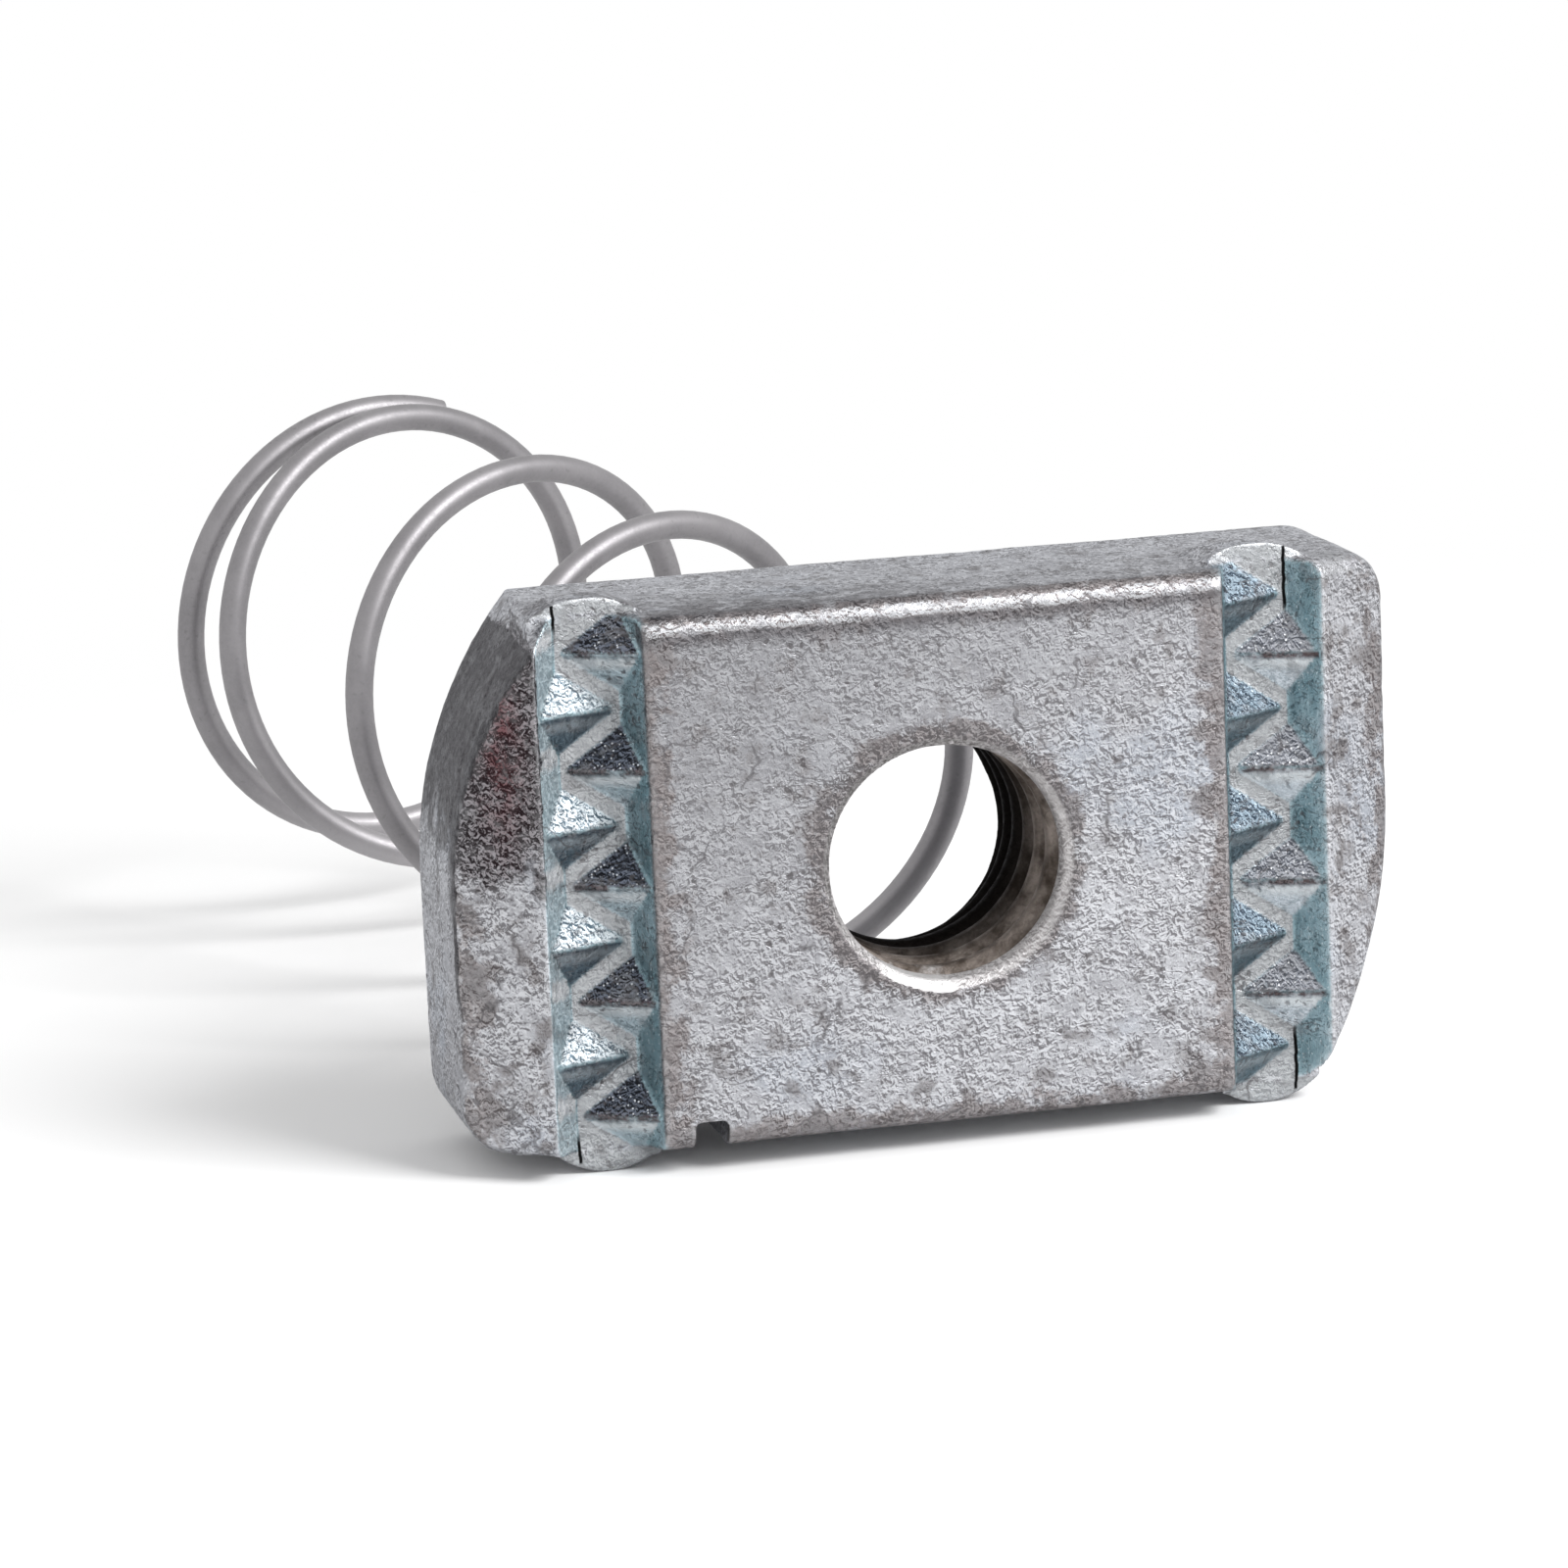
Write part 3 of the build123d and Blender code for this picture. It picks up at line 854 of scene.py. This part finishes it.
# painted light on the downward faces of some rows and painted shade on the others
colour = mix(mask("pale_facet"), colour, mix(slope, pale_speck, dim_speck))
colour = mix(mask("deep_facet"), colour, mix(slope, deep_speck, deep_dark))
# painted shade with painted glints on the right groove's inner row
blue_shaded_facets = mix(ramp(slope, 0.25, 0.75), blue_shade_pale, blue_shade_dark)
blue_shaded_facets = mix(times(glints, 0.6), blue_shaded_facets, blue_shade_glint)
colour = mix(mask("blue_shaded_facet"), colour, blue_shaded_facets)
# painted highlight on the left groove's outer row
highlit_facets = mix(ramp(slope, 0.3, 0.75), highlit_pale, highlit_dark)
colour = mix(mask("bright_facet"), colour, highlit_facets)
# half-lit grey with painted glints on the right groove's outer row
half_lit_facets = mix(ramp(slope, 0.2, 0.8), half_lit_pale, half_lit_dark)
half_lit_facets = mix(times(glints, 0.85), half_lit_facets, half_lit_glint)
colour = mix(mask("grey_facet"), colour, half_lit_facets)
# painted shade with painted glints on the left groove's inner row
sparkle = mix(ramp(slope, 0.1, 0.7), night_pale, night_dark)
sparkle = mix(glints, sparkle, night_glint)
colour = mix(mask("dark_facet"), colour, sparkle)
# painted pale strip just below each crest
colour = mix(mask("under_crest"), colour, under_crest_pale)
crest = times(mask("crest"), ramp(ragged, 0.38, 0.58, 0.3, 1.0))
colour = mix(crest, colour, mix(slope, crest_pale, crest_dark))
print("and", len(tree.nodes), "with the teeth")

# %% [markdown]
# ## Painted dark reflections and dirt on the zinc
# The left end's dark upper part and the red-brown patch on its shoulder are painted dark reflections.
# The dirty top side comes from handling and weather. The end wall is drawn dark near its front edge
# and gets a painted dark reflection in its upper part, and a dark strip runs behind the shoulder. A
# ragged noise is added to each mask before it is stretched, so their borders wander in flakes. A
# plain mask would leave a soft airbrushed edge, which dirt doesn't have.

# %% Material: zinc plate, dirt
# painted dark reflection on the left end, its red-brown patch and its painted glints
reflected_dark_pale, reflected_dark_deep, reflected_dark_glint = (0.30, 0.288, 0.305), (0.016, 0.012, 0.014), (0.45, 0.45, 0.47)
red_reflection_pale, red_reflection_dark = (0.15, 0.035, 0.04), (0.03, 0.004, 0.006)
top_pale, top_dark = (0.16, 0.15, 0.158), (0.03, 0.027, 0.03)
end_pale, end_dark = (0.11, 0.105, 0.11), (0.025, 0.022, 0.024)
strip_dark = (0.03, 0.027, 0.03)
corner_dirt_and_shade = (0.085, 0.082, 0.088)

# the grain picks between the pale and dark tones of the painted dark reflection
flakes = ramp(slope, 0.2, 0.55)
reflected_dark = mix(flakes, reflected_dark_pale, reflected_dark_deep)
red_reflection = mix(flakes, red_reflection_pale, red_reflection_dark)
red = times(mask("red_painted_reflection"), ramp(ragged, 0.35, 0.6, 0.2, 1.0))
reflected_dark = mix(red, reflected_dark, red_reflection)
reflected_dark = mix(times(glints, 0.35), reflected_dark, reflected_dark_glint)
dark_reflection_share = plus(mask("dark_reflection_share"), ramp(ragged, 0.3, 0.7, -0.35, 0.35))
dark_reflection_share = times(ramp(dark_reflection_share, 0.15, 0.7), ramp(mask("dark_reflection_share"), 0.0, 0.1))
colour = mix(dark_reflection_share, colour, reflected_dark)
dirt = times(mask("top_dirt"), ramp(ragged, 0.36, 0.58, 0.2, 1.0))
dirt = reckoned(tree, "MAXIMUM", dirt, times(mask("under_roll"), 0.8))
colour = mix(dirt, colour, mix(slope, top_pale, top_dark))
# end wall drawn dark near its front edge, with a painted dark reflection in its upper part
end_darkening = plus(mask("end_line"), ramp(ragged, 0.3, 0.7, -0.4, 0.2))
colour = mix(ramp(end_darkening, 0.0, 0.5), colour, mix(slope, end_pale, end_dark))
colour = mix(times(mask("end_strip"), 0.9), colour, strip_dark)
# dirt and painted shade in the corners
colour = mix(mask("crease"), colour, corner_dirt_and_shade)
print("and", len(tree.nodes), "with the dirt")

# %% [markdown]
# ## Rubbed edges, painted highlights and marks
# Wear goes on after the dirt, because on the real nut it took the dirt off. The rolled edge gets a
# painted highlight, the ridges are pale with wear and a painted highlight, and scratches, hairlines
# and pits are dark. The dirty ring round the hole comes last of what lies on the face.

# %% Material: zinc plate, wear
rolled_highlight_grey, rubbed_highlight_grey = (0.37, 0.375, 0.39), (0.66, 0.67, 0.69)
scratch_grey, hairline_grey, pit_grey = (0.12, 0.115, 0.12), (0.10, 0.095, 0.10), (0.10, 0.093, 0.097)
rim_grey = (0.10, 0.092, 0.095)

rubbed_and_highlit = times(mask("ridge"), ramp(grains, 0.3, 0.7, 0.15, 0.95))
# painted highlight on the rolled upper edge and the right corner
rolled_highlight = plus(mask("rolled"), ramp(ragged, 0.35, 0.6, -0.75, 0.25))
rolled_highlight = times(ramp(rolled_highlight, 0.1, 0.6), ramp(slope, 0.9, 0.5))
colour = mix(rolled_highlight, colour, rolled_highlight_grey)
# pale with wear and a painted highlight on the ridges
colour = mix(rubbed_and_highlit, colour, rubbed_highlight_grey)
colour = mix(times(marks_and_glints.outputs["Scratches"], 0.65), colour, scratch_grey)
colour = mix(times(marks_and_glints.outputs["Hairlines"], 0.75), colour, hairline_grey)
colour = mix(times(marks_and_glints.outputs["Pits"], 0.85), colour, pit_grey)
rim = times(mask("rim"), ramp(slope, 0.3, 0.6, 0.1, 0.9))
colour = mix(rim, colour, rim_grey)
print("and", len(tree.nodes), "with the wear")

# %% [markdown]
# ## The oily, shaded bore and the cracks
# The lip is bare bright metal, and the thread behind it is brown-black with oil and painted shade,
# darker with depth, with a painted highlight low in the mouth. A crack is thinner than the skin's
# faces, so it is a line: black where a point lies within a few hundredths of a millimetre of the
# crack's distance from the middle, which wanders a little up and down the nut.

# %% Material: zinc plate, bore and cracks
lip_pale, lip_dark = (0.64, 0.625, 0.63), (0.32, 0.305, 0.305)
oil_and_shade_dark, oil_and_shade_pale, oil_and_shade_deep = (0.08, 0.062, 0.05), (0.36, 0.315, 0.285), (0.012, 0.010, 0.009)
glow_grey, crack_black = (0.62, 0.61, 0.61), (0.003, 0.003, 0.003)
crack_edge, crack_core = 0.085 * mm, 0.04 * mm
crack_wander = 0.05  # to each side, in millimetres

colour = mix(mask("lip"), colour, mix(slope, lip_pale, lip_dark))
# oil and painted shade in the thread, darkest deep in the hole
oil_and_shade = mix(patches, oil_and_shade_dark, oil_and_shade_pale)
oil_and_shade = mix(mask("bore_deep"), oil_and_shade, oil_and_shade_deep)
colour = mix(mask("bore"), colour, oil_and_shade)
# painted highlight low in the mouth
shining = plus(mask("bore_glow"), ramp(ragged, 0.3, 0.7, -0.4, 0.3))
shining = times(ramp(shining, 0.2, 0.7), ramp(mask("bore_glow"), 0, 0.15))
colour = mix(shining, colour, glow_grey)

across = step(tree, "SeparateXYZ", {"Vector": where}).outputs
along = step(tree, "CombineXYZ", {"Z": across["Z"]}).outputs[0]
wander = step(tree, "TexNoise", {"Vector": along, "Scale": 1.3 / mm, "Detail": 2.0}).outputs["Fac"]
nearest, farthest = (crack_line - crack_wander) * mm, (crack_line + crack_wander) * mm
wander = ramp(wander, 0.2, 0.8, nearest, farthest)
off_line = step(tree, "Math", {0: across["X"]}, operation="ABSOLUTE").outputs[0]
off_line = reckoned(tree, "SUBTRACT", off_line, wander)
off_line = step(tree, "Math", {0: off_line}, operation="ABSOLUTE").outputs[0]
split = times(ramp(off_line, crack_edge, crack_core), mask("torn"))
colour = mix(split, colour, crack_black)
tree.links.new(colour, metal.inputs["Base Color"])
print("and", len(tree.nodes), "with the bore")

# %% [markdown]
# ## Roughness and relief of the zinc
# The grains make the surface rougher and smoother in spots, ridges are polished, and pits and the
# oily bore scatter more. The relief is real only down to a few hundredths of a millimetre. Below
# that a bump, which tilts the surface without moving it, costs no faces and looks the same.

# %% Material: zinc plate, roughness and relief
rough = ramp(grains, 0.2, 0.8, 0.48, 0.32)
rough = reckoned(tree, "SUBTRACT", rough, times(mask("ridge"), 0.08))
rough = plus(rough, times(marks_and_glints.outputs["Pits"], 0.2))
rough = plus(rough, times(mask("bore_all"), 0.3))
tree.links.new(rough, metal.inputs["Roughness"])
relief_height = plus(look.outputs["Height"], times(marks_and_glints.outputs["Height"], 0.7))
relief = step(tree, "Bump", {"Height": relief_height, "Strength": 0.7, "Distance": 0.06 * mm})
tree.links.new(relief.outputs[0], metal.inputs["Normal"])
skin.materials.clear()
skin.materials.append(zinc)
print("material", zinc.name, "with", len(tree.nodes), "steps")

# %% [markdown]
# ## Spring wire
# The spring is drawn wire with a thin dull plating: smoother than the nut, with a satin sheen and
# faint marks. The CAD wire already has the right shape, so it stays and only gets its finish. Its
# lowest few millimetres are paler, a painted reflection of the white ground they lie close over.

# %% Material: spring wire
dark_wire, light_wire, grain_wire = (0.235, 0.227, 0.236), (0.29, 0.28, 0.29), (0.34, 0.33, 0.34)
pitted_wire, floor_reflection_wire = (0.08, 0.075, 0.08), (0.46, 0.446, 0.46)
pale_from, pale_to = 8 * mm, 1 * mm  # above the foot of the nut

wire = bpy.data.materials.new("drawn_wire")
wire.use_nodes = True
tree = wire.node_tree
metal = tree.nodes["Principled BSDF"]
metal.inputs["Metallic"].default_value = 0.85
mix, ramp = partial(mixed, tree), partial(ranged, tree)
look = placed(tree, grain, Patch_size=3.5, Grain_size=0.15)
marks_and_glints = placed(tree, wear_and_glints, Pit_size=0.3, Amount=0.2, Glint_size=0.1)
colour = mix(look.outputs["Patches"], dark_wire, light_wire)
colour = mix(reckoned(tree, "MULTIPLY", look.outputs["Grain"], 0.15), colour, grain_wire)
colour = mix(marks_and_glints.outputs["Pits"], colour, pitted_wire)
where = step(tree, "TexCoord").outputs["Object"]
low_turn = step(tree, "SeparateXYZ", {"Vector": where}).outputs["Z"]
low_turn = ramp(low_turn, nut_low.z + pale_from, nut_low.z + pale_to)
# painted reflection of the white floor on the lowest turn
colour = mix(low_turn, colour, floor_reflection_wire)
tree.links.new(colour, metal.inputs["Base Color"])
tree.links.new(ramp(look.outputs["Grain"], 0, 1, 0.52, 0.44), metal.inputs["Roughness"])
faint = {"Height": look.outputs["Height"], "Strength": 0.15, "Distance": 0.01 * mm}
tree.links.new(step(tree, "Bump", faint).outputs[0], metal.inputs["Normal"])
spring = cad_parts["spring"]
for slot in spring.material_slots:
    slot.material = wire
print("material", wire.name)

# %% [markdown]
# ## Floor
# The nut stands on white paper. A large sheet would end in a visible horizon, and a curved backdrop
# needs room. So the paper is a flat sheet that keeps the nut's shadow near it, and from 5 to 13 cm
# out it fades into a plain white glow, but only for the rays that show the background. It lights the
# nut as ordinary paper does.

# %% Floor
floor_level = nut_low.z
floor_reach = 1.5
fade_start, fade_end = 0.05, 0.13

corners = [(x, y, floor_level) for x, y in ((-1, -1), (1, -1), (1, 1), (-1, 1))]
corners = [(x * floor_reach, y * floor_reach, z) for x, y, z in corners]
paper_mesh = bpy.data.meshes.new("floor")
paper_mesh.from_pydata(corners, [], [(0, 1, 2, 3)])
paper_sheet = bpy.data.objects.new("floor", paper_mesh)
scene.collection.objects.link(paper_sheet)


def seen_directly(tree):
    """1 for the rays that show the background: camera, mirror-like and see-through ones."""
    path = step(tree, "LightPath").outputs
    one = reckoned(tree, "MAXIMUM", path["Is Camera Ray"], path["Is Glossy Ray"])
    return reckoned(tree, "MAXIMUM", one, path["Is Transmission Ray"])


paper = bpy.data.materials.new("white_paper")
paper.use_nodes = True
tree = paper.node_tree
sheet = tree.nodes["Principled BSDF"]
sheet.inputs["Base Color"].default_value = (0.93, 0.93, 0.93, 1)
sheet.inputs["Roughness"].default_value = 1.0
sheet.inputs["Specular IOR Level"].default_value = 0.0
glow = step(tree, "Emission", {"Color": (1, 1, 1, 1), "Strength": 1.0})
place = step(tree, "NewGeometry").outputs["Position"]
far = step(tree, "VectorMath", {0: place}, operation="LENGTH").outputs["Value"]
far = reckoned(tree, "MULTIPLY", ranged(tree, far, fade_start, fade_end), seen_directly(tree))
both = step(tree, "MixShader", {0: far, 1: sheet.outputs[0], 2: glow.outputs[0]})
tree.links.new(both.outputs[0], tree.nodes["Material Output"].inputs["Surface"])
paper_mesh.materials.append(paper)
print("the floor lies at", round(floor_level, 5), "m")

# %% [markdown]
# ## The white room
# Small metal parts are shown in a white tent, so that they have something pale to reflect. An image
# of a studio could light the scene, but an even white room is enough and stays neutral. It is full
# white for the camera and in reflections and 0.7 as a light, which leaves the lamp its shading.

# %% Room
room_light, room_seen = 0.7, 1.0

world = bpy.data.worlds.new("white_room")
scene.world = world
world.use_nodes = True
tree = world.node_tree
room = tree.nodes["Background"]
room.inputs["Color"].default_value = (1, 1, 1, 1)
strength = ranged(tree, seen_directly(tree), 0, 1, room_light, room_seen)
tree.links.new(strength, room.inputs["Strength"])
print("the room is", room_light, "as a light and", room_seen, "to the eye")

# %% [markdown]
# ## Lamps
# One large soft lamp stands above the nut, in front and to its right. It gives the bright upper edge
# and the soft shadow. A weak one stands low at the right front and lifts the hole and the right
# groove. Both are flat and 12 to 20 cm wide, because a small lamp would give metal hard sparks.

# %% Lamps
def soft_lamp(name, place, width, depth, power):
    """A flat rectangular lamp that looks at the nut."""
    data = bpy.data.lights.new(name, "AREA")
    data.shape = "RECTANGLE"
    data.size, data.size_y = width, depth
    data.energy = power
    lamp = bpy.data.objects.new(name, data)
    lamp.location = place
    lamp.rotation_euler = (-Vector(place)).to_track_quat("-Z", "Y").to_euler()
    scene.collection.objects.link(lamp)
    print("lamp", name, power, "W")


soft_lamp("key", (0.20, -0.21, 0.27), 0.2, 0.18, 1.45)
soft_lamp("right_front", (0.25, -0.36, 0.08), 0.12, 0.16, 0.2)
scene.view_settings.view_transform = "Standard"
